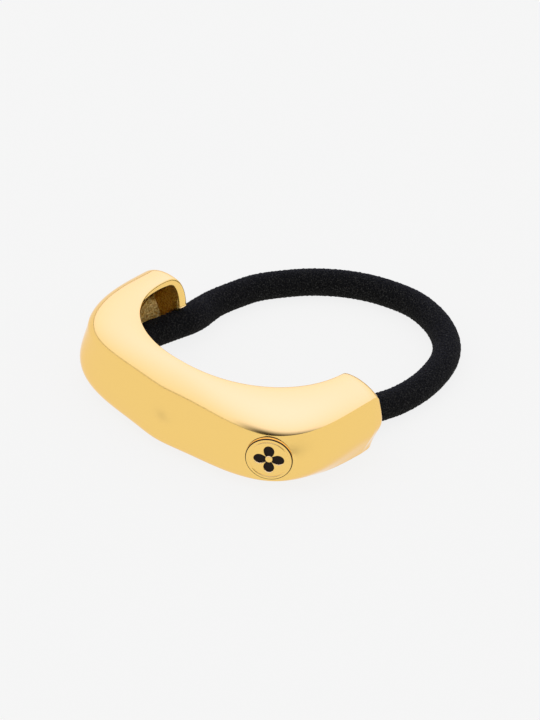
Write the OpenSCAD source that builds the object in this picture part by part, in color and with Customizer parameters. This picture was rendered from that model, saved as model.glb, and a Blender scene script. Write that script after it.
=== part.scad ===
// Hair tie: a cast gold-plated cuff, C-shaped in section, with a ring of round knitted elastic
// that runs in its channel and lies behind it as a loose loop.
// X runs to the right and Y to the back, and the cuff stands on Z = 0 with its box centred on the origin.

/* [Cuff in plan] */
// Half of the width between the arms, at the inner top edge
inner_half_w = 21.5; // [20:0.1:24]
// Depth of the inner edge, from the arms' root to the front
inner_depth = 17.5; // [15:0.1:20]
// Squareness of the inner edge, where 2 is an ellipse
inner_power = 2.17; // [2:0.01:3]
// Width of the arms, from the inner edge to the outer curve
arm_w = 7; // [6:0.1:8]
// Width of the front, from the inner edge to the outer curve
front_w = 4.6; // [4:0.1:6]
// Squareness of the outer curve
outer_power = 3.5; // [2.5:0.1:4]
// Length of each arm's straight end, which its rounded tip takes up
arm_len = 3.8; // [3:0.1:6]
// How far each arm leans in over its straight end
toe_in = 0.4; // [0:0.1:1]

/* [Cuff in section] */
// Thickness of the cast wall
wall = 1.2; // [0.8:0.1:1.2]
// Thickness of the wall's rim over the tips
tip_wall = 1.6; // [1.2:0.1:1.8]
// Height of the inner top edge at the front
front_h = 14.6; // [13:0.1:16]
// Height of the inner top edge at the tips, before they round down
tip_h = 13.9; // [13:0.1:16]
// Height of the rim's foot, which the elastic passes under
foot_h = 7.1; // [6.6:0.1:8]
// How far the outer face curls in at the tips
tip_round = 2.2; // [1.8:0.1:2.6]
// How late the section changes from the front's to the tips'
late = 1.5; // [1:0.1:3]

/* [End webs] */
// Thickness of the web that closes each tip round the elastic
web_t = 0.8; // [0.6:0.1:1]
// Distance from each tip to its web
web_back = 0.9; // [0.7:0.1:1.1]
// Radius of the web's notch for the elastic
notch_r = 2.8; // [2.7:0.1:3]

/* [Round disc] */
// Radius of the disc on the right-hand shoulder
disc_r = 4.1; // [3.5:0.1:4.5]
// Angle from the front to the way that the disc faces
disc_turn = 35; // [30:1:45]
// Height of the disc's centre
disc_z = 6.2; // [5:0.1:8]
// How far the disc's face lies from the middle of the arms' root
disc_out = 28.9; // [28.5:0.1:29.5]
// How far the disc's centre lies to the right of the way that it faces
disc_aside = 7.9; // [7:0.1:9]
// How far the disc's face stands out of the flat round it
disc_proud = 0.4; // [0.2:0.1:0.6]

/* [Elastic] */
// Diameter of the elastic
elastic_d = 5; // [4:0.1:5.2]
// Sides of the elastic's tube
elastic_sides = 10; // [8:1:12]

/* [Hidden] */
// Each row of the section: its value at the front and at the tips. The ridge's and the base's
// places are shares of the width, the angles are those of the surface, down from level, and a
// pull is how far the face holds its angle, 1 for as long as the face is high.
SECTION = [
    // name, front, tip
    ["top_angle", -12, -16],
    ["ridge_place", 0.97, 1],
    ["ridge_h", 10.3, 12.6],
    ["above_ridge", 74, 42],
    ["below_ridge", 77, 76],
    ["ridge_pull", 1.6, 1.8],
    ["base_place", 0.69, 0.71],
    ["base_angle", 168, 100],
    ["base_pull", 1.9, 1.8],
    ["lip_place", 0, 0.2]
];
top_steps = 6;
face_steps = 11;
tip_steps = 8;
curve_steps = 20;
crowding = 1.6;
disc_depth = 1.4;
// Radii within which the outer face is flat round the disc, and beyond which it is as it was
FLAT = [5.4, 8];
// Outline of an end web, as [distance from the middle, height], with its edge inside the wall
WEB = [[23, 0.5], [25.4, 0.5], [26.7, 3.4], [27.8, 6.4], [27.5, 8.8], [27, 9.9], [25, 10.6],
    [21.5, 10.2], [21.5, 5]];
// Middle of the web's notch
NOTCH = [21.1, 3.8];
// Centres of the elastic's rings, a hand-laid route: out of the left tip, round the loose loop,
// into the right tip and back through the channel
ROUTE = [
    [-21, 13.9, 3.8], [-21.5, 16.9, 3.4], [-22.5, 19.9, 2.8], [-23, 23.4, 2.6], [-22.5, 27.9, 2.6],
    [-21.5, 32.4, 2.6], [-19, 36.9, 2.6], [-16, 40.9, 2.6], [-12, 44.4, 2.6], [-7.5, 46.9, 2.6],
    [-2.5, 48.4, 2.6], [2.5, 48.9, 2.6], [7.5, 47.9, 2.6], [12, 45.9, 2.6], [16, 42.9, 2.6],
    [19, 38.9, 2.6], [21, 33.9, 2.6], [22, 28.9, 2.6], [22, 23.9, 2.6], [21.5, 19.4, 3],
    [21, 13.9, 3.8], [21.5, 9.9, 3.8], [22, 5.4, 3.8], [21, 0.9, 3.8], [18.5, -3.1, 3.8],
    [14.5, -6.6, 3.8], [9.5, -8.4, 3.8], [4.5, -8.8, 3.8], [0, -8.8, 3.8], [-4.5, -8.8, 3.8],
    [-9.5, -8.4, 3.8], [-14.5, -6.6, 3.8], [-18.5, -3.1, 3.8], [-21, 0.9, 3.8], [-22, 5.4, 3.8],
    [-21.5, 9.9, 3.8]
];
rings_per_step = 2;

function unit(v) = v / norm(v);
function mix(a, b, s) = a + (b - a) * s;
function row(name) = [for (r = SECTION) if (r[0] == name) r][0];
function section_value(name, s) = mix(row(name)[1], row(name)[2], s);
function down(angle) = [cos(angle), -sin(angle)];

// A point of a squared ellipse at an angle, 0 at the left arm's root and 180 at the right one's
function squared_ellipse(half_w, depth, power, angle) = [
    -half_w * sign(cos(angle)) * pow(abs(cos(angle)), 2 / power),
    -depth * pow(abs(sin(angle)), 2 / power)
];
// A station along the cuff is [angle, distance back from the arms' root]; the tips have one at 0
tip_stations = [for (i = [0 : tip_steps]) arm_len * cos(90 * i / tip_steps)];
function crowded(u) = pow(u, crowding) / (pow(u, crowding) + pow(1 - u, crowding));
half_angles = [for (i = [1 : curve_steps]) 90 * crowded(i / curve_steps)];
STATIONS = concat(
    [for (y = tip_stations) [0, y]],
    [for (a = half_angles) [a, 0]],
    [for (i = [len(half_angles) - 2 : -1 : 0]) [180 - half_angles[i], 0]],
    [for (i = [tip_steps : -1 : 0]) [180, tip_stations[i]]]
);
function inner_point(s) = squared_ellipse(inner_half_w, inner_depth, inner_power, s[0])
    + [cos(s[0]) * toe_in * s[1] / arm_len, s[1]];
function outer_point(s) =
    squared_ellipse(inner_half_w + arm_w, inner_depth + front_w, outer_power, s[0])
    + [cos(s[0]) * toe_in * s[1] / arm_len, s[1]];

// A cubic arc from p to q that leaves along u and arrives along v
function arc_point(p, q, u, v, s) = (2 * s * s * s - 3 * s * s + 1) * p
    + (s * s * s - 2 * s * s + s) * u + (3 * s * s - 2 * s * s * s) * q + (s * s * s - s * s) * v;
// The section as [outwards, up]: over the top to the ridge, down the face to the base, and back in
function section(width, s) = let (
    top = [0, mix(front_h, tip_h, s)],
    ridge = [width * section_value("ridge_place", s), section_value("ridge_h", s)],
    base = [width * section_value("base_place", s), 0],
    over = norm(ridge - top),
    lip = [width * section_value("lip_place", s), 0],
    below = norm(base - ridge)
) concat(
    [for (i = [0 : top_steps]) arc_point(top, ridge, over * down(section_value("top_angle", s)),
        over * down(section_value("above_ridge", s)), i / top_steps)],
    [for (i = [1 : face_steps]) arc_point(ridge, base,
        below * section_value("ridge_pull", s) * down(section_value("below_ridge", s)),
        below * section_value("base_pull", s) * down(section_value("base_angle", s)), i / face_steps)],
    [lip]
);
// The flat that is ground round the disc: what stands out of it is pressed back, less and less
// from its edge on
disc_way = [sin(disc_turn), -cos(disc_turn), 0];
disc_right = [cos(disc_turn), sin(disc_turn), 0];
disc_centre = disc_way * disc_out + disc_right * disc_aside + [0, 0, disc_z];
function smooth_step(t) = t * t * (3 - 2 * t);
function flattened(p) = let (
    offset = p - disc_centre,
    r = norm([offset * disc_right, offset[2]]),
    fade = smooth_step(max(min((r - FLAT[0]) / (FLAT[1] - FLAT[0]), 1), 0))
) p - disc_way * max(offset * disc_way + disc_proud, 0) * (1 - fade);
// Quarter-round fall, 0 at the very tip and 1 from the given distance on
function rounded(distance, radius) = sqrt(1 - pow(1 - min(distance / radius, 1), 2));
// 0 at the front and 1 at the tips, at a point of the inner edge
function lateness(p) = pow((p[1] + inner_depth) / (inner_depth + arm_len), late);
function outer_row(s) = let (
    from = inner_point(s),
    to = outer_point(s),
    width = norm(to - from),
    share = lateness(from),
    distance = arm_len - from[1],
    height = mix(foot_h / tip_h, 1, rounded(distance, arm_len)),
    reach = 1 - tip_round / width * (1 - rounded(distance, tip_round))
) [for (p = section(width, share)) flattened([
    each from + (to - from) * p[0] * reach / width, p[1] * height])];
OUTER = [for (s = STATIONS) outer_row(s)];

last_station = len(OUTER) - 1;
last_point = len(OUTER[0]) - 1;
function along(i, j) = OUTER[min(i + 1, last_station)][j] - OUTER[max(i - 1, 0)][j];
// Down the section. At the base it is the face's way, so that the corner isn't turned with the floor
function across(i, j) = OUTER[i][j == last_point - 1 ? j : min(j + 1, last_point)] - OUTER[i][max(j - 1, 0)];
function outwards(i) = let (v = outer_point(STATIONS[i]) - inner_point(STATIONS[i])) unit([v[0], v[1], 0]);
function normal(i, j) = unit(cross(along(i, j), across(i, j)));
// At the open inner side the wall is cut square, so the inward step stays in that side's plane
function step_in(i, j) = (j == 0 || j == last_point)
    ? unit(normal(i, j) - (normal(i, j) * outwards(i)) * outwards(i)) : normal(i, j);
// The wall is thicker towards the tips and towards its top
function over_face(j) = j < top_steps ? 1 - j / (2 * top_steps) : (last_point - 1 - j) / (2 * face_steps);
function thickness(i, j) =
    mix(wall, tip_wall, lateness(inner_point(STATIONS[i])) * max(over_face(j), 0));
// Along an arm the wall steps forward in proportion, so that it doesn't fold, and it ends at the floor
INNER = [for (i = [0 : last_station]) [for (j = [0 : last_point]) let (
    back = STATIONS[i][1],
    t = thickness(i, j),
    p = OUTER[i][j] + t * step_in(i, j)
) [p[0], back > 0 ? back * (1 - t / arm_len) : p[1], max(p[2], wall)]]];
y_front = min([for (r = OUTER) for (p = r) p[1]]);
y_middle = (y_front + arm_len) / 2;

ring = 2 * (last_point + 1);
function shell_ring(i) = concat([for (j = [last_point : -1 : 0]) OUTER[i][j]], INNER[i]);
function ring_faces(count, n, closed) = [for (i = [0 : count - (closed ? 1 : 2)]) for (j = [0 : n - 1])
    let (a = i * n + j, b = i * n + (j + 1) % n, c = ((i + 1) % count) * n, d = c + (j + 1) % n)
    each [[a, b, c + j], [b, d, c + j]]];
// An end of the shell is a strip between its outer and its inner line
function end_faces(i, flip) = [for (j = [0 : last_point - 1])
    let (a = i * ring + j, b = a + 1, c = i * ring + ring - 1 - j, d = c - 1)
    each (flip ? [[a, b, c], [b, d, c]] : [[a, c, b], [b, c, d]])];

module shell() {
    polyhedron(
        points = [for (i = [0 : last_station]) each shell_ring(i)],
        faces = concat(
            ring_faces(last_station + 1, ring, false),
            end_faces(0, false),
            end_faces(last_station, true)
        )
    );
}

module end_web() {
    translate([0, arm_len - web_back, 0]) rotate([90, 0, 0]) linear_extrude(web_t) difference() {
        polygon(WEB);
        translate(NOTCH) circle(r = notch_r, $fn = 24);
    }
}

module disc() {
    rotate([0, 0, disc_turn]) translate([disc_aside, -disc_out, disc_z]) rotate([-90, 0, 0])
        cylinder(h = disc_depth, r = disc_r, $fn = 48);
}

module gold_cuff() {
    color("gold") translate([0, -y_middle, 0]) union() {
        shell();
        for (side = [0, 1]) mirror([side, 0, 0]) end_web();
        disc();
    }
}

// The elastic's smooth centre line, a closed curve through the route's points
function route_point(k) = ROUTE[(k + len(ROUTE)) % len(ROUTE)];
function smooth_point(k, s) = arc_point(route_point(k), route_point(k + 1),
    (route_point(k + 1) - route_point(k - 1)) / 2, (route_point(k + 2) - route_point(k)) / 2, s);
LINE = [for (k = [0 : len(ROUTE) - 1]) for (i = [0 : rings_per_step - 1])
    smooth_point(k, i / rings_per_step)];
function heading(k) = unit(LINE[(k + 1) % len(LINE)] - LINE[(k + len(LINE) - 1) % len(LINE)]);
function tube_ring(k) = let (side = unit(cross(heading(k), [0, 0, 1])), up = cross(side, heading(k)))
    [for (i = [0 : elastic_sides - 1]) let (a = 360 * i / elastic_sides)
        LINE[k] + elastic_d / 2 * (cos(a) * side + sin(a) * up)];

module elastic_ring() {
    color("black") polyhedron(
        points = [for (k = [0 : len(LINE) - 1]) each tube_ring(k)],
        faces = ring_faces(len(LINE), elastic_sides, true)
    );
}

gold_cuff();
elastic_ring();
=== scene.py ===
"""Hair tie: a polished gold-plated cuff, C-shaped in section, with a ring of black knitted elastic.

Sizes are in millimetres until a mesh is made, which is in metres. X runs to the right, Y to the back,
where the elastic's loop lies, and Z up. The cuff stands on Z = 0.
"""

from __future__ import annotations

import logging
import math
from dataclasses import dataclass
from enum import Enum

import bpy
import numpy as np
from mathutils import Matrix, Vector

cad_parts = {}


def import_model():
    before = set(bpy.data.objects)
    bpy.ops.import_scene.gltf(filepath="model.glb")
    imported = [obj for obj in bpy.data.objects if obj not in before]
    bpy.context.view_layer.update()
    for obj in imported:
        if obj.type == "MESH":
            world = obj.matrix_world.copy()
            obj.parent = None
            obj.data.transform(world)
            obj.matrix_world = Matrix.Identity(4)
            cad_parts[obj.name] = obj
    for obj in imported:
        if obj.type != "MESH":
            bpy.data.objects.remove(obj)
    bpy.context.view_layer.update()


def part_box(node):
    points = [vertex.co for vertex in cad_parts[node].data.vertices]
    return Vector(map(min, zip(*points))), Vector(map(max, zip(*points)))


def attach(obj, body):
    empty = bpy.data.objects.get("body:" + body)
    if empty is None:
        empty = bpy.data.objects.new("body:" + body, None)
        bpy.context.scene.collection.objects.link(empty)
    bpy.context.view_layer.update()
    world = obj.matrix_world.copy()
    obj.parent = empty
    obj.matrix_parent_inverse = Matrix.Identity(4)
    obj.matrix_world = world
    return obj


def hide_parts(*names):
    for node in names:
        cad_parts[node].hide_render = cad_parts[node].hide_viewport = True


LOG = logging.getLogger("hair_tie")
MM = 0.001  # metres
TINY = 1e-12  # least length that unit() divides by
BODY = "root"  # the row's only body


class Slot(Enum):
    """Names of the material slots."""

    GOLD = "gold_plate"
    ELASTIC = "black_elastic"


# Curves


def mix(a: np.ndarray, b: np.ndarray, share: np.ndarray) -> np.ndarray:
    """The value that lies the share of the way from a to b."""
    return a + (b - a) * share


def unit(vectors: np.ndarray) -> np.ndarray:
    """The vectors scaled to length 1."""
    return vectors / np.maximum(np.linalg.norm(vectors, axis=-1, keepdims=True), TINY)


def level(vectors: np.ndarray) -> np.ndarray:
    """The vectors' level part scaled to length 1."""
    return unit(vectors * np.array([1, 1, 0]))


def smooth_step(value: np.ndarray, low: float, high: float) -> np.ndarray:
    """0 up to low and 1 from high on, with the curve 3 t^2 - 2 t^3 between them."""
    t = np.clip((value - low) / (high - low), 0, 1)
    return t * t * (3 - 2 * t)


def quarter_round(distance: np.ndarray, radius: float) -> np.ndarray:
    """Height of a quarter round of height 1 at a distance from its foot: sqrt(1 - (1 - d / r)^2)."""
    return np.sqrt(1 - (1 - np.minimum(distance / radius, 1)) ** 2)


def crowd_ends(t: np.ndarray, power: float, span: float = 1.0) -> np.ndarray:
    """Places from 0 to the span that crowd towards both ends: span t^p / (t^p + (1 - t)^p)."""
    return span * t**power / (t**power + (1 - t) ** power)


def downwards(angle: np.ndarray) -> np.ndarray:
    """Unit directions in the section at angles below the level in degrees, stations by one by two."""
    a = np.radians(angle)
    return np.stack([np.cos(a), -np.sin(a)], axis=-1)[:, None]


def cubic_arc(p: np.ndarray, q: np.ndarray, u: np.ndarray, v: np.ndarray, s: np.ndarray) -> np.ndarray:
    """Cubic arc from p, which it leaves along u, to q, where it arrives along v, for s from 0 to 1."""
    start = (2 * s**3 - 3 * s**2 + 1) * p + (s**3 - 2 * s**2 + s) * u
    return start + (3 * s**2 - 2 * s**3) * q + (s**3 - s**2) * v


# Meshes


def quads(grid: np.ndarray) -> np.ndarray:
    """The four corners of each cell between a grid's neighbours.

    Args:
        grid: Vertex numbers, rows by columns, or places on the pattern, rows by columns by two. A closed grid
            repeats its first row or column at its end.

    Returns:
        Cells by four, or by four by two.
    """
    corners = np.stack([grid[:-1, :-1], grid[1:, :-1], grid[1:, 1:], grid[:-1, 1:]], axis=2)
    return corners.reshape(-1, 4, *grid.shape[2:])


def closed(grid: np.ndarray, axis: int) -> np.ndarray:
    """The grid with its first row or column repeated at its end."""
    return np.concatenate([grid, np.take(grid, [0], axis=axis)], axis=axis)


def signed_volume(points: np.ndarray, faces: np.ndarray) -> float:
    """Volume inside the faces: the sum over their triangles of a dot (b cross c) / 6."""
    a, b, c, d = (points[faces[:, i]] for i in range(4))
    return float(sum(np.einsum("ij,ij->", a, np.cross(*side)) for side in ((b, c), (c, d))) / 6)


def new_object(name: str, data: bpy.types.ID) -> bpy.types.Object:
    """A new object in the scene's main collection.

    Args:
        name: The object's name.
        data: Its mesh, camera or lamp.

    Returns:
        The object.
    """
    thing = bpy.data.objects.new(name, data)
    bpy.context.scene.collection.objects.link(thing)
    return thing


def solid(name: str, points: np.ndarray, faces: np.ndarray, uv: np.ndarray | None = None) -> bpy.types.Object:
    """A smooth-shaded closed piece with its faces pointing outwards.

    Args:
        name: The piece's name.
        points: Vertices in millimetres.
        faces: Four vertex numbers for each face. A face at a pole repeats the pole's number.
        uv: Place on the pattern for each face's corners, faces by four by two.

    Returns:
        The new object.
    """
    if signed_volume(points, faces) < 0:
        faces = faces[:, ::-1]
        uv = None if uv is None else uv[:, ::-1]
    polygons = faces.tolist()
    for i in np.flatnonzero((faces[:, 0] == faces[:, 3]) | (faces[:, 1] == faces[:, 2])):
        polygons[i] = list(dict.fromkeys(polygons[i]))
    mesh = bpy.data.meshes.new(name)
    mesh.from_pydata((points * MM).tolist(), [], polygons)
    mesh.polygons.foreach_set("use_smooth", np.ones(len(mesh.polygons), bool))
    if uv is not None:
        mesh.uv_layers.new(name="pattern").data.foreach_set("uv", uv.reshape(-1).astype(np.float32))
    mesh.update()
    return new_object(name, mesh)


def add_attribute(piece: bpy.types.Object, name: str, values: np.ndarray) -> None:
    """Puts one number on each vertex, for the materials to read."""
    attribute = piece.data.attributes.new(name, "FLOAT", "POINT")
    attribute.data.foreach_set("value", values.astype(np.float32))


def dress(piece: bpy.types.Object, material: bpy.types.Material, node: str) -> None:
    """Gives a piece its material and fixes it to the body, in the place of a CAD node.

    Args:
        piece: The piece.
        material: Its material.
        node: The CAD node that it stands for.
    """
    piece.data.materials.append(material)
    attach(piece, BODY)
    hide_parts(node)
    LOG.info("%s: %d faces", piece.name, len(piece.data.polygons))


# Materials


def linear_colour(hex_colour: str) -> tuple[float, float, float, float]:
    """Turns an sRGB hex colour such as "#f0c878" into linear red, green, blue and alpha."""
    parts = [int(hex_colour[i : i + 2], 16) / 255 for i in (1, 3, 5)]
    return (*(c / 12.92 if c <= 0.04045 else ((c + 0.055) / 1.055) ** 2.4 for c in parts), 1.0)


def add_node(
    tree: bpy.types.NodeTree,
    kind: str,
    values: dict[str | int, object] | None = None,
    links: dict[str | int, bpy.types.NodeSocket] | None = None,
    **settings: object,
) -> bpy.types.Node:
    """Adds one node to a node tree.

    Args:
        tree: The material's or world's node tree.
        kind: Blender's name for the kind of node, without "ShaderNode".
        values: Numbers or colours for its input sockets, by name or place.
        links: Output sockets of other nodes that feed its input sockets.
        **settings: Its own properties.

    Returns:
        The new node.
    """
    node = tree.nodes.new("ShaderNode" + kind)
    for name, value in settings.items():
        setattr(node, name, value)
    for socket, value in (values or {}).items():
        node.inputs[socket].default_value = value
    for socket, source in (links or {}).items():
        tree.links.new(source, node.inputs[socket])
    return node


def new_material(name: str) -> tuple[bpy.types.Material, bpy.types.NodeTree]:
    """An empty node material.

    Args:
        name: The material's name.

    Returns:
        The material and its node tree.
    """
    material = bpy.data.materials.new(name)
    material.use_nodes = True
    material.node_tree.nodes.clear()
    return material, material.node_tree


@dataclass(frozen=True)
class GoldPlate:
    """Gold flash over cast and tumbled metal: a bright warm mirror, a little soft from the tumbling.

    At low angles the gold turns to the glance colour, and the clear lacquer over it adds a pale glint. The
    tumbling leaves a faint wave in the polish. The inside of the channel isn't polished: it keeps the sandy
    skin of the casting, with darker pits, which looks granular and brown. Its grit is drawn a few times
    coarser than real, so that it shows.
    """

    polished: str = "#fbd277"
    glance: str = "#ffe9c0"
    cast_skin: str = "#ffe27e"
    cast_pits: str = "#d0a03c"
    polished_roughness: float = 0.12
    cast_roughness: float = 0.34
    grit_mm: float = 0.35
    grit_detail: float = 3.0
    grit_sharpness: float = 0.6
    grit_depth_mm: float = 0.3
    grit_relief: float = 0.8
    pit_levels: tuple[float, float] = (0.38, 0.62)
    wave_mm: float = 9.0
    wave_detail: float = 1.0
    wave_depth_mm: float = 0.4
    wave_relief: float = 0.03
    lacquer: float = 0.65
    lacquer_ior: float = 1.45
    lacquer_roughness: float = 0.06

    def make(self) -> bpy.types.Material:
        """Builds the material. It reads the attribute cast_skin: 0 on the polish and 1 in the channel.

        Returns:
            The material.
        """
        material, tree = new_material("polished_gold_plate")
        place = add_node(tree, "TexCoord").outputs["Object"]
        cast = add_node(tree, "Attribute", attribute_name="cast_skin").outputs["Fac"]
        grit_size = {
            "Scale": 1 / (self.grit_mm * MM), "Detail": self.grit_detail, "Roughness": self.grit_sharpness,
        }
        grit = add_node(tree, "TexNoise", grit_size, {"Vector": place}).outputs["Fac"]
        pits = add_node(
            tree, "MapRange", {1: self.pit_levels[0], 2: self.pit_levels[1]}, {0: grit}
        ).outputs[0]
        skin_colours = {6: linear_colour(self.cast_pits), 7: linear_colour(self.cast_skin)}
        skin = add_node(tree, "Mix", skin_colours, {0: pits}, data_type="RGBA").outputs[2]
        colour = add_node(
            tree, "Mix", {6: linear_colour(self.polished)}, {0: cast, 7: skin}, data_type="RGBA"
        ).outputs[2]
        roughness = add_node(
            tree, "MapRange", {3: self.polished_roughness, 4: self.cast_roughness}, {0: cast}
        ).outputs[0]
        wave_size = {"Scale": 1 / (self.wave_mm * MM), "Detail": self.wave_detail}
        wave = add_node(tree, "TexNoise", wave_size, {"Vector": place}).outputs["Fac"]
        wave_look = {"Strength": self.wave_relief, "Distance": self.wave_depth_mm * MM}
        polish = add_node(tree, "Bump", wave_look, {"Height": wave}).outputs[0]
        grain_height = add_node(tree, "Math", links={0: grit, 1: cast}, operation="MULTIPLY").outputs[0]
        grain_look = {"Strength": self.grit_relief, "Distance": self.grit_depth_mm * MM}
        grain = add_node(tree, "Bump", grain_look, {"Height": grain_height, "Normal": polish}).outputs[0]
        shader = add_node(
            tree, "BsdfPrincipled",
            {
                "Metallic": 1.0, "Specular Tint": linear_colour(self.glance), "Coat Weight": self.lacquer,
                "Coat IOR": self.lacquer_ior, "Coat Roughness": self.lacquer_roughness,
            },
            {"Base Color": colour, "Roughness": roughness, "Normal": grain},
        )
        add_node(tree, "OutputMaterial", links={"Surface": shader.outputs[0]})
        return material


@dataclass(frozen=True)
class PaintedShade:
    """Brown-black painted shade in the disc's petals and along its edges, standing in for the shade that falls
    in the cut-outs and in the groove round the disc.

    It is dull, so that the motif and the disc's outline read as sharp dark lines.
    """

    # colour of the painted shade in the petals and along the disc's edges
    brown: str = "#1a0f05"
    roughness: float = 0.6
    shine: float = 0.15

    def make(self) -> bpy.types.Material:
        """Builds the material.

        Returns:
            The material.
        """
        material, tree = new_material("painted_shade_brown")
        look = {
            "Base Color": linear_colour(self.brown), "Roughness": self.roughness,
            "Specular IOR Level": self.shine,
        }
        shader = add_node(tree, "BsdfPrincipled", look)
        add_node(tree, "OutputMaterial", links={"Surface": shader.outputs[0]})
        return material


@dataclass(frozen=True)
class KnittedVelvet:
    """Knitted nylon cover with a raised nap over a rubber core: matt black with a faint grey speckle.

    The nap softens the knit's wales and stitches to a faint pattern. A fibre is finer than a pixel, so the
    speckle that the fibres give is drawn about ten times as coarse as one of them.
    """

    yarn: str = "#080807"
    fibre: str = "#494846"
    nap: str = "#6a6654"
    fibre_mm: float = 0.24
    fibre_detail: float = 4.0
    fibre_sharpness: float = 0.75
    fibre_levels: tuple[float, float] = (0.52, 0.76)
    fibre_relief: float = 0.8
    wale_mm: float = 0.55
    stitch_mm: float = 0.45
    stitch_uneven: float = 0.35
    stitch_relief: float = 0.5
    relief_mm: float = 0.1
    roughness: float = 0.95
    shine: float = 0.08
    sheen: float = 0.11
    sheen_roughness: float = 0.45

    def make(self) -> bpy.types.Material:
        """Builds the material. Its knit reads the UV map, which is in millimetres along and around.

        Returns:
            The material.
        """
        material, tree = new_material("black_knitted_velvet")
        place = add_node(tree, "TexCoord").outputs["Object"]
        along = add_node(tree, "UVMap", uv_map="pattern").outputs[0]
        fibre_size = {
            "Scale": 1 / (self.fibre_mm * MM), "Detail": self.fibre_detail, "Roughness": self.fibre_sharpness,
        }
        speckle = add_node(tree, "TexNoise", fibre_size, {"Vector": place}).outputs["Fac"]
        knots = add_node(
            tree, "Mapping", {"Scale": (1 / self.stitch_mm, 1 / self.wale_mm, 1.0)}, {"Vector": along}
        ).outputs[0]
        stitches = add_node(
            tree, "TexVoronoi", {"Scale": 1.0, "Randomness": self.stitch_uneven}, {"Vector": knots},
            voronoi_dimensions="2D",
        ).outputs["Distance"]
        bright = add_node(
            tree, "MapRange", {1: self.fibre_levels[0], 2: self.fibre_levels[1]}, {0: speckle}
        ).outputs[0]
        yarn_colours = {6: linear_colour(self.yarn), 7: linear_colour(self.fibre)}
        colour = add_node(tree, "Mix", yarn_colours, {0: bright}, data_type="RGBA").outputs[2]
        knit_look = {"Strength": self.stitch_relief, "Distance": self.relief_mm * MM}
        knit = add_node(tree, "Bump", knit_look, {"Height": stitches}, invert=True).outputs[0]
        fuzz_look = {"Strength": self.fibre_relief, "Distance": self.relief_mm * MM}
        fuzz = add_node(tree, "Bump", fuzz_look, {"Height": speckle, "Normal": knit}).outputs[0]
        shader = add_node(
            tree, "BsdfPrincipled",
            {
                "Roughness": self.roughness, "Specular IOR Level": self.shine, "Sheen Weight": self.sheen,
                "Sheen Roughness": self.sheen_roughness, "Sheen Tint": linear_colour(self.nap),
            },
            {"Base Color": colour, "Normal": fuzz},
        )
        add_node(tree, "OutputMaterial", links={"Surface": shader.outputs[0]})
        return material


@dataclass(frozen=True)
class PaleFloor:
    """Opal acrylic table lit from below: an even pale grey on which things cast hardly any shadow."""

    opal: str = "#4a4a4a"
    light: str = "#ffffff"
    glow: float = 0.845

    def make(self) -> bpy.types.Material:
        """Builds the floor's material.

        Returns:
            The material.
        """
        material, tree = new_material("opal_acrylic")
        look = {
            "Base Color": linear_colour(self.opal), "Roughness": 1.0, "Specular IOR Level": 0.0,
            "Emission Color": linear_colour(self.light), "Emission Strength": self.glow,
        }
        shader = add_node(tree, "BsdfPrincipled", look)
        add_node(tree, "OutputMaterial", links={"Surface": shader.outputs[0]})
        return material


# The cuff


@dataclass(frozen=True)
class SectionRow:
    """One value of the cuff's section, at the front and at the tips."""

    front: float
    tip: float

    def at(self, share: np.ndarray) -> np.ndarray:
        """The value that lies the share of the way from the front to the tips."""
        return mix(self.front, self.tip, share)


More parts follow.
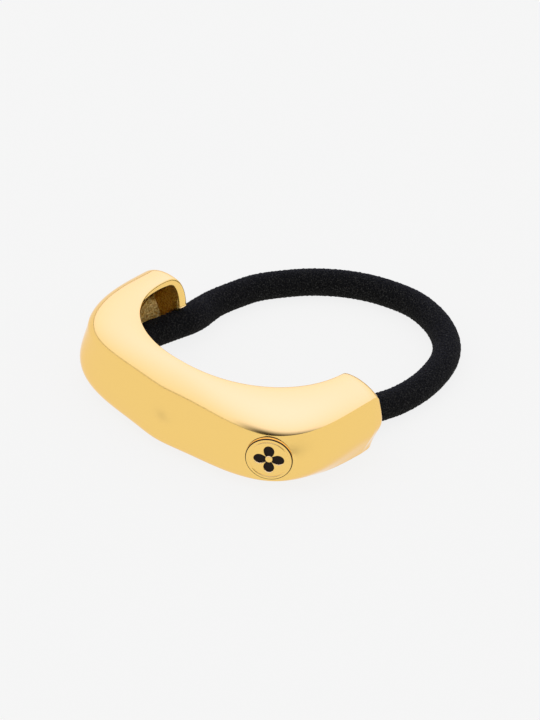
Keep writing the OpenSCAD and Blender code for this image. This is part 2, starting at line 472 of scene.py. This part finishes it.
@dataclass
class GoldCuff:
    """The cast cuff, a C-shaped shell whose section is a C as well, open towards the hair.

    Its plan lies between an inner and an outer curve. The section's rows hold places as shares of the width
    between them, heights, angles in degrees below the level, and pulls, which say how long an arc keeps to
    the slope at its end. The more late is, the nearer to the tips the section changes to theirs, and foot_h
    is the height that is left at a tip's very end. The place numbered outwards_at lies straight outwards of
    the inner top edge.
    """

    inner_half_w: float = 21.5
    inner_depth: float = 17.5
    inner_power: float = 2.17
    arm_w: float = 7.0
    front_w: float = 4.6
    outer_power: float = 3.5
    arm_len: float = 3.8
    toe_in: float = 0.4
    wall: float = 1.2
    tip_wall: float = 1.6
    front_h: float = 14.6
    tip_h: float = 13.9
    foot_h: float = 7.1
    tip_round: float = 2.2
    late: float = 1.5
    lip_round: float = 0.22
    top_angle: SectionRow = SectionRow(-12, -16)
    ridge_place: SectionRow = SectionRow(0.97, 1.0)
    ridge_h: SectionRow = SectionRow(10.3, 12.6)
    above_ridge: SectionRow = SectionRow(74, 42)
    below_ridge: SectionRow = SectionRow(77, 76)
    ridge_pull: SectionRow = SectionRow(1.6, 1.8)
    base_place: SectionRow = SectionRow(0.69, 0.71)
    base_angle: SectionRow = SectionRow(168, 100)
    base_pull: SectionRow = SectionRow(1.9, 1.8)
    lip_place: SectionRow = SectionRow(0, 0.2)
    tip_steps: int = 22
    curve_steps: int = 110
    curve_crowding: float = 1.6
    arc_places: int = 30
    above_crowding: float = 1.6
    below_crowding: float = 1.7
    floor_places: int = 10
    floor_crowding: float = 1.5
    outwards_at: int = 8
    lip_places: int = 9

    def stations(self) -> tuple[np.ndarray, np.ndarray]:
        """Places along the cuff, from the left tip to the right one.

        Returns:
            Angles round the curve, 0 at the left arm's root and pi at the right one's, and how far back of
            the root each place is. Along an arm the angle stays and the distance falls as a cosine, and round
            the curve the angles crowd towards the arms and the front.
        """
        arm = self.arm_len * np.cos(np.linspace(0, math.pi / 2, self.tip_steps + 1))
        t = np.linspace(0, 1, self.curve_steps + 1)[1:]
        half = crowd_ends(t, self.curve_crowding, math.pi / 2)
        curve = np.concatenate([half, math.pi - half[-2::-1]])
        angle = np.concatenate([np.zeros_like(arm), curve, np.full_like(arm, math.pi)])
        back = np.concatenate([arm, np.zeros_like(curve), arm[::-1]])
        return angle, back

    def section_places(self) -> np.ndarray:
        """Places round the section, as section() reads them.

        Returns:
            Numbers from 0 to 3. They lie closer together on both sides of the ridge and of the base.
        """
        t = np.linspace(0, 1, self.arc_places)
        above = 1 - (1 - t) ** self.above_crowding
        below = crowd_ends(t, self.below_crowding)
        floor = np.linspace(0, 1, self.floor_places) ** self.floor_crowding
        return np.concatenate([above, 1 + below[1:], 2 + floor[1:]])

    def plan_curve(
        self, half_w: float, depth: float, power: float, angle: np.ndarray, back: np.ndarray
    ) -> np.ndarray:
        """A plan curve: a squared ellipse, x = -w cos^(2/p), y = -d sin^(2/p), with straight arms behind.

        Args:
            half_w: Half of its width.
            depth: Its depth from the arms' root to the front.
            power: The ellipse's power. 2 is an ellipse, and more is squarer.
            angle: Angle of each station.
            back: Distance behind the arms' root of each station.

        Returns:
            Stations by two.
        """
        c, s = np.cos(angle), np.maximum(np.sin(angle), 0)
        x = -half_w * np.sign(c) * np.abs(c) ** (2 / power) + c * self.toe_in * back / self.arm_len
        return np.stack([x, -depth * s ** (2 / power) + back], axis=-1)

    def inner_edge(self, angle: np.ndarray, back: np.ndarray) -> np.ndarray:
        """The plan curve on the hair's side."""
        return self.plan_curve(self.inner_half_w, self.inner_depth, self.inner_power, angle, back)

    def outer_edge(self, angle: np.ndarray, back: np.ndarray) -> np.ndarray:
        """The plan curve on the outer side."""
        half_w, depth = self.inner_half_w + self.arm_w, self.inner_depth + self.front_w
        return self.plan_curve(half_w, depth, self.outer_power, angle, back)

    def lateness(self, angle: np.ndarray, back: np.ndarray) -> np.ndarray:
        """0 at the front and 1 at the tips, by how far back the inner edge is at each station."""
        y = self.inner_edge(angle, back)[:, 1]
        return ((y + self.inner_depth) / (self.inner_depth + self.arm_len)).clip(0) ** self.late

    def section(self, width: np.ndarray, share: np.ndarray, v: np.ndarray) -> np.ndarray:
        """The outer line of the section, as distance outwards and height.

        Args:
            width: Distance between the two plan curves at each station.
            share: 0 for the front's section and 1 for the tips'.
            v: 0 at the inner top edge, 1 at the ridge, 2 at the base and 3 at the inner bottom edge. From 0
                to 1 and from 1 to 2 the line is a cubic arc with stated slopes at its ends, and from 2 to 3
                it is straight.

        Returns:
            Stations by places by two.
        """
        zero = np.zeros_like(width)
        top = np.stack([zero, mix(self.front_h, self.tip_h, share)], axis=-1)[:, None]
        ridge = np.stack([width * self.ridge_place.at(share), self.ridge_h.at(share)], axis=-1)[:, None]
        base = np.stack([width * self.base_place.at(share), zero], axis=-1)[:, None]
        lip = np.stack([width * self.lip_place.at(share), zero], axis=-1)[:, None]
        over = np.linalg.norm(ridge - top, axis=-1, keepdims=True)
        below = np.linalg.norm(base - ridge, axis=-1, keepdims=True)
        s = v[None, :, None]
        upper = cubic_arc(
            top,
            ridge,
            over * downwards(self.top_angle.at(share)),
            over * downwards(self.above_ridge.at(share)),
            np.clip(s, 0, 1),
        )
        lower = cubic_arc(
            ridge,
            base,
            below * self.ridge_pull.at(share)[:, None, None] * downwards(self.below_ridge.at(share)),
            below * self.base_pull.at(share)[:, None, None] * downwards(self.base_angle.at(share)),
            np.clip(s - 1, 0, 1),
        )
        floor = mix(base, lip, np.clip(s - 2, 0, 1))
        return np.where(s <= 1, upper, np.where(s <= 2, lower, floor))

    def outer_surface(self, angle: np.ndarray, back: np.ndarray, v: np.ndarray) -> np.ndarray:
        """The outside as a function of the place along the cuff and the place round the section.

        The section stands on the line between the two plan curves. Towards a tip its height falls and its
        outer side curls in, both by a quarter round.

        Args:
            angle: Angle of each station.
            back: Distance behind the arms' root of each station.
            v: Places round the section.

        Returns:
            Stations by places by three, with the arms' root at Y = 0.
        """
        inner, outer = self.inner_edge(angle, back), self.outer_edge(angle, back)
        width = np.linalg.norm(outer - inner, axis=-1)
        distance = self.arm_len - inner[:, 1]
        height = mix(self.foot_h / self.tip_h, 1, quarter_round(distance, self.arm_len))
        reach = 1 - self.tip_round / width * (1 - quarter_round(distance, self.tip_round))
        profile = self.section(width, self.lateness(angle, back), v)
        flat = inner[:, None] + unit(outer - inner)[:, None] * profile[..., :1] * reach[:, None, None]
        return np.concatenate([flat, profile[..., 1:] * height[:, None, None]], axis=-1)

    def root_y(self, front_y: float) -> float:
        """Y of the arms' root in the row's frame, from the cuff's lowest Y there."""
        return front_y - self.outer_surface(*self.stations(), self.section_places())[..., 1].min()

    def normals(self, outside: np.ndarray, outwards: np.ndarray, base: int) -> np.ndarray:
        """Unit normals of the outside, from the slopes between neighbours on the grid.

        At the base, which is a corner, the normal is the lower arc's. At both edges it loses its outward
        part, so that the wall's inner corner lies straight below or above its outer one.

        Args:
            outside: The outside, stations by places by three.
            outwards: Level direction away from the hair at each station.
            base: Number of the place at the base.

        Returns:
            Stations by places by three.
        """
        along, across = np.gradient(outside, axis=0), np.gradient(outside, axis=1)
        across[:, base] = outside[:, base] - outside[:, base - 1]
        normal = unit(np.cross(across, along))
        for edge in (0, -1):
            n = normal[:, edge]
            normal[:, edge] = unit(n - (n * outwards).sum(axis=-1, keepdims=True) * outwards)
        return normal

    def lip_line(self) -> tuple[np.ndarray, np.ndarray]:
        """A lip's own places: shares of the way over it, and its bulge there, b sqrt(1 - (2 t - 1)^2)."""
        t = (1 - np.cos(np.linspace(0, math.pi, self.lip_places)[1:-1])) / 2
        return t, self.lip_round * np.sqrt(1 - (2 * t - 1) ** 2)

    def tip_numbers(self, ring: np.ndarray, places: int, first: int) -> np.ndarray:
        """Vertex numbers of the patch that closes one tip, whose border is the shell's own ring.

        Args:
            ring: The ring's numbers: over the outside, a lip, the inside backwards and the other lip.
            places: How many places the outside has, and the inside too.
            first: Number of the patch's first vertex of its own.

        Returns:
            Rows from the outside to the inside by places.
        """
        rows = len(ring) // 2 - places
        outside, lip, inside, other_lip = np.split(ring, np.cumsum([places, rows, places]))
        grid = np.empty((rows + 2, places), int)
        grid[0], grid[-1] = outside, inside[::-1]
        grid[1:-1, -1], grid[1:-1, 0] = lip, other_lip[::-1]
        grid[1:-1, 1:-1] = first + np.arange(rows * (places - 2)).reshape(rows, places - 2)
        return grid

    def build(self, root_y: float, disc: RoundDisc, gold: bpy.types.Material) -> None:
        """Makes the shell and marks its cast skin.

        The inside is the outside moved in by the wall along the normals, and the wall grows towards the tips
        and the top. Along an arm it steps forward in proportion to the distance back, and below the wall's
        height it is a level floor. A lip joins inside and outside along each open side and tip.

        Args:
            root_y: Y of the arms' root in the row's frame, in millimetres.
            disc: The disc, round which the outside is ground flat.
            gold: The gold plate.
        """
        angle, back = self.stations()
        v = self.section_places()
        outside = self.outer_surface(angle, back, v)
        outside[..., 1] += root_y
        outside = disc.ground_flat(outside, root_y)
        outwards = level(outside[:, self.outwards_at] - outside[:, 0])
        base = int(np.argmax(v >= 2))
        growth = self.lateness(angle, back)[:, None] * np.maximum(1 - v / 2, 0)
        wall = mix(self.wall, self.tip_wall, growth)
        inside = outside - wall[..., None] * self.normals(outside, outwards, base)
        arm = back > 0
        inside[arm, :, 1] = root_y + back[arm, None] * (1 - wall[arm] / self.arm_len)
        inside[..., 2] = np.maximum(inside[..., 2], self.wall)
        inside[:, base:] = mix(inside[:, base, None], inside[:, -1, None], (v[base:] - 2)[:, None])

        t, bulge = self.lip_line()
        hairwards = -outwards[:, None] * bulge[:, None]
        top_lip, bottom_lip = (
            mix(outside[:, None, edge], inside[:, None, edge], t[:, None]) + hairwards for edge in (0, -1)
        )
        shell = np.concatenate([outside, bottom_lip, inside[:, ::-1], top_lip[:, ::-1]], axis=1)
        number = np.arange(shell.shape[0] * shell.shape[1]).reshape(shell.shape[:2])
        places, rows = len(v), len(t)
        points, faces = [shell.reshape(-1, 3)], [quads(closed(number, 1))]
        cast_skin = np.tile(np.repeat([0.0, 1.0, 0.0], [places + rows, places, rows]), len(shell))
        run = np.concatenate([[0], np.cumsum(np.linalg.norm(np.diff(outside[0], axis=0), axis=-1))])
        taper = quarter_round(np.minimum(run, run[-1] - run), 2 * self.lip_round)
        count = number.size
        for tip, neighbour, turn in ((0, 1, 1), (-1, -2, -1)):
            heading = level(outside[tip, 0] - outside[neighbour, 0])
            patch = mix(outside[tip], inside[tip], t[:, None, None])
            patch = patch + heading * bulge[:, None, None] * taper[:, None]
            points.append(patch[:, 1:-1].reshape(-1, 3))
            faces.append(quads(self.tip_numbers(number[tip], places, count))[:, ::turn])
            count += len(points[-1])
        piece = solid("cuff_shell", np.concatenate(points), np.concatenate(faces))
        add_attribute(piece, "cast_skin", np.concatenate([cast_skin, np.zeros(count - number.size)]))
        dress(piece, gold, "gold_cuff")


@dataclass
class RoundDisc:
    """The small round disc on the right-hand shoulder, with a plain four-petalled rosette cut into it.

    It is turned by an angle in degrees from facing forwards, and out and aside lead from the middle between
    the arms' roots to its face's centre. The face stands proud of the flat ground round it. Each row of the
    rim has its depth below the face and its share of painted shade: the rim is gold, with a dark edge and a
    dark foot painted where the groove round the disc lies in shade.
    """

    radius: float = 4.1
    turn: float = 35.0
    height: float = 6.2
    out: float = 28.9
    aside: float = 7.9
    depth: float = 1.3
    edge_round: float = 0.14
    proud: float = 0.26
    flat_radius: float = 5.0
    fade_radius: float = 10.5
    outline_w: float = 0.12
    outline_blend: float = 0.04
    # rim rows: depth below the face and share of painted shade, dark at the edge and the foot
    rim_rows: tuple[tuple[float, float], ...] = ((0.17, 1.0), (0.22, 0.0), (0.62, 0.0), (0.68, 1.0))
    ring_radius: float = 3.45
    ring_w: float = 0.14
    ring_depth: float = 0.08
    petal_len: float = 2.7
    petal_gap: float = 0.55
    petal_depth: float = 0.2
    petal_slope: float = 0.14
    # levels of the petals' sinking over which their painted shade sets in
    petal_painted_shade: tuple[float, float] = (0.35, 0.9)
    painted_shade_from: float = 0.49
    rings: int = 84
    ring_crowding: float = 0.8
    sides: int = 192

    def axes(self, root_y: float) -> tuple[np.ndarray, np.ndarray, np.ndarray]:
        """Where the disc sits.

        Args:
            root_y: Y of the arms' root in the row's frame, in millimetres.

        Returns:
            The face's centre, its right and its way out.
        """
        a = math.radians(self.turn)
        right, facing = np.array([math.cos(a), math.sin(a), 0]), np.array([math.sin(a), -math.cos(a), 0])
        return right * self.aside + facing * self.out + np.array([0, root_y, self.height]), right, facing

    def ground_flat(self, points: np.ndarray, root_y: float) -> np.ndarray:
        """Grinds the cuff's outside flat round the disc: what stands out of the plane is pressed back to it.

        Beyond flat_radius it is pressed back less and less, by a smooth step.

        Args:
            points: The outside's points.
            root_y: Y of the arms' root in the row's frame, in millimetres.

        Returns:
            The ground points.
        """
        centre, right, facing = self.axes(root_y)
        offset = points - centre
        r = np.hypot(offset @ right, offset[..., 2])
        share = 1 - smooth_step(r, self.flat_radius, self.fade_radius)
        press = np.maximum(offset @ facing + self.proud, 0) * share
        return points - press[..., None] * facing

    def relief(self, r: np.ndarray, theta: np.ndarray) -> tuple[np.ndarray, np.ndarray]:
        """The face at a radius and an angle.

        It is flat with a quarter-round edge. A fine ring is sunk by a bell curve, and the petals are the area
        r < len sqrt|cos 2 theta| outside the middle boss, with steep smooth sides. Painted shade lies in the
        petals and in a fine line along the edge.

        Args:
            r: Radii.
            theta: Angles.

        Returns:
            The height and the share of painted shade.
        """
        edge = np.clip((r - self.radius + self.edge_round) / self.edge_round, 0, 1)
        face = -self.edge_round * (1 - np.sqrt(1 - edge**2))
        ring = self.ring_depth * np.exp(-(((r - self.ring_radius) / self.ring_w) ** 2) * 2)
        reach = self.petal_len * np.abs(np.cos(2 * theta)) ** 0.5
        petal = smooth_step(np.minimum(reach - r, r - self.petal_gap), 0.0, self.petal_slope)
        line_start = self.radius - self.outline_w
        outline = smooth_step(r, line_start - self.outline_blend, line_start)
        # painted shade: dark in the sunk petals and in a fine line along the face's edge
        painted_shade = np.maximum(smooth_step(petal, *self.petal_painted_shade), outline)
        return face - ring - self.petal_depth * petal, painted_shade

    def build(self, root_y: float, gold: bpy.types.Material, painted_shade: bpy.types.Material) -> None:
        """Makes the disc, facing its way out of the cuff's shoulder.

        The face is its relief over rings and sides, the rim carries its last ring back, and both ends close
        on the middle. A mesh face takes the painted shade where its corners have more than the threshold share
        of it.

        Args:
            root_y: Y of the arms' root in the row's frame, in millimetres.
            gold: The gold plate.
            painted_shade: The brown painted shade.
        """
        r = np.linspace(0, 1, self.rings + 1)[1:] ** self.ring_crowding * self.radius
        theta = np.arange(self.sides) * 2 * math.pi / self.sides
        height, dark = self.relief(*np.meshgrid(r, theta, indexing="ij"))
        fall, rim_dark = np.array([*self.rim_rows, (self.depth, 1.0)]).T
        radius = np.concatenate([r, np.full(len(fall), self.radius)])[:, None]
        y = np.concatenate([height, np.broadcast_to(-fall[:, None], (len(fall), self.sides))])
        rows = np.stack([radius * np.cos(theta), y, radius * np.sin(theta)], axis=-1)
        middle_height = self.relief(np.zeros(1), np.zeros(1))[0][0]
        points = np.concatenate([rows.reshape(-1, 3), [[0, middle_height, 0], [0, -self.depth, 0]]])
        number = closed(np.arange(rows.shape[0] * self.sides).reshape(-1, self.sides), 1)
        front_pole, back_pole = (np.full((1, self.sides + 1), len(points) - i) for i in (2, 1))
        faces = quads(np.concatenate([front_pole, number, back_pole]))
        centre, right, facing = self.axes(root_y)
        placed = centre + points @ np.array([right, facing, [0, 0, 1]])
        piece = solid("cuff_disc", placed, faces)
        # faces that take the brown painted shade: the petals, the edge line and the rim's dark edge and foot
        shares = np.concatenate([dark.reshape(-1), np.repeat(rim_dark, self.sides), [0, 1]])
        dark_faces = shares[faces].mean(axis=1) > self.painted_shade_from
        piece.data.polygons.foreach_set("material_index", dark_faces.astype(np.int32))
        dress(piece, gold, "gold_cuff")
        piece.data.materials.append(painted_shade)


@dataclass
class EndWeb:
    """The web that closes one tip of the channel round the elastic. It is a flat plate with rounded edges.

    Its outline is for the right tip, as X and Z. The notch is an arc round the elastic between two angles in
    degrees, and the plate stands back from the tip.
    """

    notch: tuple[float, float] = (21.1, 3.8)
    notch_r: float = 2.6
    notch_arc: tuple[float, float] = (81.8, -55.3)
    notch_places: int = 9
    thickness: float = 0.8
    back: float = 0.9
    edge_round: float = 0.12
    edge_places: int = 5
    side_steps: int = 6
    outline: tuple[tuple[float, float], ...] = (
        (23, 0.5), (25.4, 0.5), (26.7, 3.4), (27.8, 6.4), (27.5, 8.8), (27, 9.9), (25, 10.6), (21.5, 10.2),
    )  # fmt: skip

    def build(self, name: str, tip_y: float, side: int, gold: bpy.types.Material) -> None:
        """Makes the plate, which is cast skin all over.

        Its outline runs round the outer side and back over the notch's arc. It is carried through the
        thickness. At both faces it shrinks towards its middle by a quarter round, and each face closes on the
        middle.

        Args:
            name: The piece's name.
            tip_y: Y of the cuff's tips in the row's frame, in millimetres.
            side: 1 for the right tip and -1 for the left one.
            gold: The gold plate.
        """
        arc = np.radians(np.linspace(*self.notch_arc, self.notch_places))
        notch = np.array(self.notch) + self.notch_r * np.stack([np.cos(arc), np.sin(arc)], axis=-1)
        corners = np.concatenate([self.outline, notch])
        steps = np.arange(self.side_steps)[:, None] / self.side_steps
        line = mix(corners[:, None], np.roll(corners, -1, axis=0)[:, None], steps).reshape(-1, 2)
        middle = line.mean(axis=0)
        turn = np.linspace(0, math.pi / 2, self.edge_places)
        rise = self.edge_round * (1 - np.cos(turn))
        inset = np.concatenate([self.edge_round * (1 - np.sin(turn)), rise])
        depth = np.concatenate([[0], rise, self.thickness - rise[::-1], [self.thickness]])
        reach = np.linalg.norm(line - middle, axis=-1)
        share = np.pad(1 - inset[:, None] / reach, ((1, 1), (0, 0)))
        flat = middle + (line - middle) * share[..., None]
        y = np.broadcast_to((tip_y - self.back - depth)[:, None], share.shape)
        points = np.stack([side * flat[..., 0], y, flat[..., 1]], axis=-1)
        number = closed(np.arange(share.size).reshape(share.shape), 1)
        number[0], number[-1] = number[0, 0], number[-1, 0]
        used, faces = np.unique(quads(number), return_inverse=True)
        piece = solid(name, points.reshape(-1, 3)[used], faces.reshape(-1, 4))
        add_attribute(piece, "cast_skin", np.ones(len(used)))
        dress(piece, gold, "gold_cuff")


# The elastic


@dataclass
class KnittedElastic:
    """The closed ring of round elastic: out of the left tip, round the loose loop and back in the channel.

    The nap's waves each have a number of turns along the ring, one of turns round it, and a phase. The swell
    is a little thickening where the elastic comes out of the left tip.
    """

    diameter: float = 5.0
    sides: int = 72
    steps: int = 22
    nap_mm: float = 0.1
    nap_waves: tuple[tuple[int, int, int], ...] = ((211, 5, 0), (167, -9, 1), (97, 17, 2), (263, -13, 4))
    swell_mm: float = 0.25
    swell_at: float = 3.5
    swell_len: float = 5.0
    route: tuple[tuple[float, float, float], ...] = (
        (-21, 13.9, 3.8), (-21.5, 16.9, 3.4), (-22.5, 19.9, 2.8), (-23, 23.4, 2.6), (-22.5, 27.9, 2.6),
        (-21.5, 32.4, 2.6), (-19, 36.9, 2.6), (-16, 40.9, 2.6), (-12, 44.4, 2.6), (-7.5, 46.9, 2.6),
        (-2.5, 48.4, 2.6), (2.5, 48.9, 2.6), (7.5, 47.9, 2.6), (12, 45.9, 2.6), (16, 42.9, 2.6),
        (19, 38.9, 2.6), (21, 33.9, 2.6), (22, 28.9, 2.6), (22, 23.9, 2.6), (21.5, 19.4, 3), (21, 13.9, 3.8),
        (21.5, 9.9, 3.8), (22, 5.4, 3.8), (21, 0.9, 3.8), (18.5, -3.1, 3.8), (14.5, -6.6, 3.8),
        (9.5, -8.4, 3.8), (4.5, -8.8, 3.8), (0, -8.8, 3.8), (-4.5, -8.8, 3.8), (-9.5, -8.4, 3.8),
        (-14.5, -6.6, 3.8), (-18.5, -3.1, 3.8), (-21, 0.9, 3.8), (-22, 5.4, 3.8), (-21.5, 9.9, 3.8),
    )  # fmt: skip

    def centre_line(self) -> np.ndarray:
        """The smooth closed line through the route: cubic arcs with slopes from each point's two neighbours.

        Returns:
            Points by three.
        """
        p = np.array(self.route, float)
        slope = (np.roll(p, -1, axis=0) - np.roll(p, 1, axis=0)) / 2
        s = np.arange(self.steps)[None, :, None] / self.steps
        after, slope_after = np.roll(p, -1, axis=0), np.roll(slope, -1, axis=0)
        return cubic_arc(p[:, None], after[:, None], slope[:, None], slope_after[:, None], s).reshape(-1, 3)

    def build(self, velvet: bpy.types.Material) -> None:
        """A circle is carried along the centre line, square to it, with one axis level. Its radius varies by a
        sum of fine waves, the nap, and by a bell curve, the swell. The pattern's place is millimetres along
        the line and around the circle.

        Args:
            velvet: The knitted cover.
        """
        line = self.centre_line()
        count = len(line)
        heading = unit(np.roll(line, -1, axis=0) - np.roll(line, 1, axis=0))
        side = unit(np.cross(heading, [0, 0, 1]))
        up = np.cross(side, heading)
        a = np.arange(self.sides) * 2 * math.pi / self.sides
        u = np.arange(count)[:, None] * 2 * math.pi / count
        waves = sum(np.sin(along * u + around * a + phase) for along, around, phase in self.nap_waves)
        step = np.linalg.norm(np.roll(line, -1, axis=0) - line, axis=-1)
        run = np.concatenate([[0], np.cumsum(step)])
        apart = np.abs(run[:-1] - self.swell_at)
        swell = self.swell_mm * np.exp(-((np.minimum(apart, run[-1] - apart) / self.swell_len) ** 2))
        radius = self.diameter / 2 + self.nap_mm * waves / len(self.nap_waves) + swell[:, None]
        circle = np.cos(a)[:, None] * side[:, None] + np.sin(a)[:, None] * up[:, None]
        points = line[:, None] + radius[..., None] * circle
        number = closed(closed(np.arange(count * self.sides).reshape(count, self.sides), 1), 0)
        girth = np.arange(self.sides + 1) * math.pi * self.diameter / self.sides
        pattern = np.stack(np.broadcast_arrays(run[:, None], girth), axis=-1)
        piece = solid("elastic_tube", points.reshape(-1, 3), quads(number), quads(pattern))
        dress(piece, velvet, "elastic_ring")


# The studio


def aimed(place: Vector, direction: Vector) -> Matrix:
    """The matrix of a camera or lamp at a place in metres that looks along a direction."""
    return Matrix.Translation(place) @ direction.to_track_quat("-Z", "Y").to_matrix().to_4x4()


@dataclass
class Studio:
    """Pale floor, soft light and the camera at the photograph's viewing angle.

    The tent's colours are levels of light, where 1 is white in the picture. Its ranges run over a direction's
    upward part, or over its part towards the camera's side, and both go from -1 to 1. The camera's sight is
    its nearest and farthest distance.
    """

    target: tuple[float, float, float] = (-5.5, 19.84, 0.0)
    azimuth: float = 44.82
    elevation: float = 33.0
    distance: float = 714.3
    roll: float = 0.7
    lens: float = 200.0
    sensor_w: float = 36.0
    sight: tuple[float, float] = (50.0, 10000.0)
    floor_half: float = 2000.0
    floor_gap: float = 0.05
    back_colour: tuple[float, ...] = (1.15, 1.2, 1.68, 1.0)
    side_colour: tuple[float, ...] = (1.06, 1.09, 1.42, 1.0)
    back_to_sides: tuple[float, float] = (-0.95, -0.3)
    zenith_colour: tuple[float, ...] = (1.22, 1.32, 2.8, 1.0)
    edge_colour: tuple[float, ...] = (0.25, 0.2, 0.12, 1.0)
    edge_up: tuple[float, float] = (0.0, 0.035)
    gap_colour: tuple[float, ...] = (0.01, 0.008, 0.006, 1.0)
    gap_up: tuple[float, float] = (0.5, 0.1)
    gap_front: tuple[float, float] = (0.45, 0.9)
    even_colour: tuple[float, ...] = (1.0, 1.0, 1.0, 1.0)
    backdrop_colour: tuple[float, ...] = (0.913, 0.913, 0.913, 1.0)
    softbox_place: tuple[float, float, float] = (-250.0, -100.0, 800.0)
    softbox_w: float = 700.0
    softbox_watts: float = 0.6
    acrylic: PaleFloor = PaleFloor()

    def towards_camera(self) -> Vector:
        """Unit direction from the target to the camera."""
        a, e = math.radians(self.azimuth), math.radians(self.elevation)
        return Vector((math.sin(a) * math.cos(e), -math.cos(a) * math.cos(e), math.sin(e)))

    def place_camera(self) -> None:
        """Adds the long-lens camera and makes it the scene's."""
        data = bpy.data.cameras.new("camera")
        data.lens, data.sensor_width = self.lens, self.sensor_w
        data.clip_start, data.clip_end = (limit * MM for limit in self.sight)
        camera = new_object("camera", data)
        back = self.towards_camera()
        stand = aimed((Vector(self.target) + back * self.distance) * MM, -back)
        camera.matrix_world = stand @ Matrix.Rotation(math.radians(self.roll), 4, "Z")
        bpy.context.scene.camera = camera

    def lay_floor(self) -> None:
        """Adds the pale floor just under the cuff."""
        h = self.floor_half
        corners = np.array([[-h, -h], [h, -h], [h, h], [-h, h]], float)
        points = np.column_stack([corners, np.full(4, -self.floor_gap)]) * MM
        mesh = bpy.data.meshes.new("floor")
        mesh.from_pydata(points.tolist(), [], [(0, 1, 2, 3)])
        mesh.materials.append(self.acrylic.make())
        new_object("floor", mesh)

    def light_sky(self) -> None:
        """Lights the scene with a soft tent, which the gold mirrors.

        Glossy rays see a tent that turns from a pale horizon, lighter at the back than at the sides, to a
        cool zenith. They also see a dim strip at the horizon, beyond the floor's edge, and a dark gap low in
        front, on the camera's side. The camera sees the floor's tone, and other rays an even white, so that
        the light on the elastic is neutral.
        """
        world = bpy.data.worlds.new("soft_tent")
        bpy.context.scene.world = world
        world.use_nodes = True
        tree = world.node_tree
        tree.nodes.clear()
        direction = add_node(tree, "TexCoord").outputs["Generated"]
        up = add_node(tree, "SeparateXYZ", links={0: direction}).outputs[2]
        a = math.radians(self.azimuth)
        front = add_node(
            tree, "VectorMath", {1: (math.sin(a), -math.cos(a), 0.0)}, {0: direction}, operation="DOT_PRODUCT"
        ).outputs["Value"]
        sideways, above_edge, low, in_front = (
            add_node(
                tree, "MapRange", {1: start, 2: end}, {0: source}, interpolation_type="SMOOTHSTEP"
            ).outputs[0]
            for source, (start, end) in (
                (front, self.back_to_sides), (up, self.edge_up), (up, self.gap_up), (front, self.gap_front)
            )
        )
        height = add_node(tree, "Clamp", links={0: up}).outputs[0]
        gap = add_node(tree, "Math", links={0: in_front, 1: low}, operation="MULTIPLY").outputs[0]
        path = add_node(tree, "LightPath")
        horizon = add_node(
            tree, "Mix", {6: self.back_colour, 7: self.side_colour}, {0: sideways}, data_type="RGBA"
        ).outputs[2]
        dome = add_node(
            tree, "Mix", {7: self.zenith_colour}, {0: height, 6: horizon}, data_type="RGBA"
        ).outputs[2]
        edged = add_node(
            tree, "Mix", {6: self.edge_colour}, {0: above_edge, 7: dome}, data_type="RGBA"
        ).outputs[2]
        tent = add_node(tree, "Mix", {7: self.gap_colour}, {0: gap, 6: edged}, data_type="RGBA").outputs[2]
        mirrored = add_node(
            tree, "Mix", {6: self.even_colour}, {0: path.outputs["Is Glossy Ray"], 7: tent}, data_type="RGBA"
        ).outputs[2]
        seen = add_node(
            tree, "Mix", {7: self.backdrop_colour}, {0: path.outputs["Is Camera Ray"], 6: mirrored},
            data_type="RGBA",
        ).outputs[2]
        glow = add_node(tree, "Background", links={"Color": seen})
        add_node(tree, "OutputWorld", links={"Surface": glow.outputs[0]})

    def hang_softbox(self) -> None:
        """Adds the large softbox over the tie, which the gold doesn't mirror."""
        data = bpy.data.lights.new("softbox", "AREA")
        data.shape, data.size, data.energy = "DISK", self.softbox_w * MM, self.softbox_watts
        place = Vector(self.softbox_place) * MM
        lamp = new_object("softbox", data)
        lamp.matrix_world = aimed(place, -place)
        lamp.visible_glossy = False

    def build(self) -> None:
        """Sets the camera, the floor and the lights."""
        self.place_camera()
        self.lay_floor()
        self.light_sky()
        self.hang_softbox()
        bpy.context.scene.view_settings.view_transform = "Standard"


def main() -> None:
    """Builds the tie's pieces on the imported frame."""
    logging.basicConfig(level=logging.INFO, format="%(name)s: %(message)s")
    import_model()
    Studio().build()
    # The second material is the brown painted shade of the disc's petals and edges.
    gold, painted_shade, velvet = GoldPlate().make(), PaintedShade().make(), KnittedVelvet().make()
    cuff, disc = GoldCuff(), RoundDisc()
    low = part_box("gold_cuff")[0]
    root_y = cuff.root_y(low[1] / MM)
    cuff.build(root_y, disc, gold)
    disc.build(root_y, gold, painted_shade)
    for name, side in (("end_web_left", -1), ("end_web_right", 1)):
        EndWeb().build(name, root_y + cuff.arm_len, side, gold)
    KnittedElastic().build(velvet)


if __name__ == "__main__":
    main()
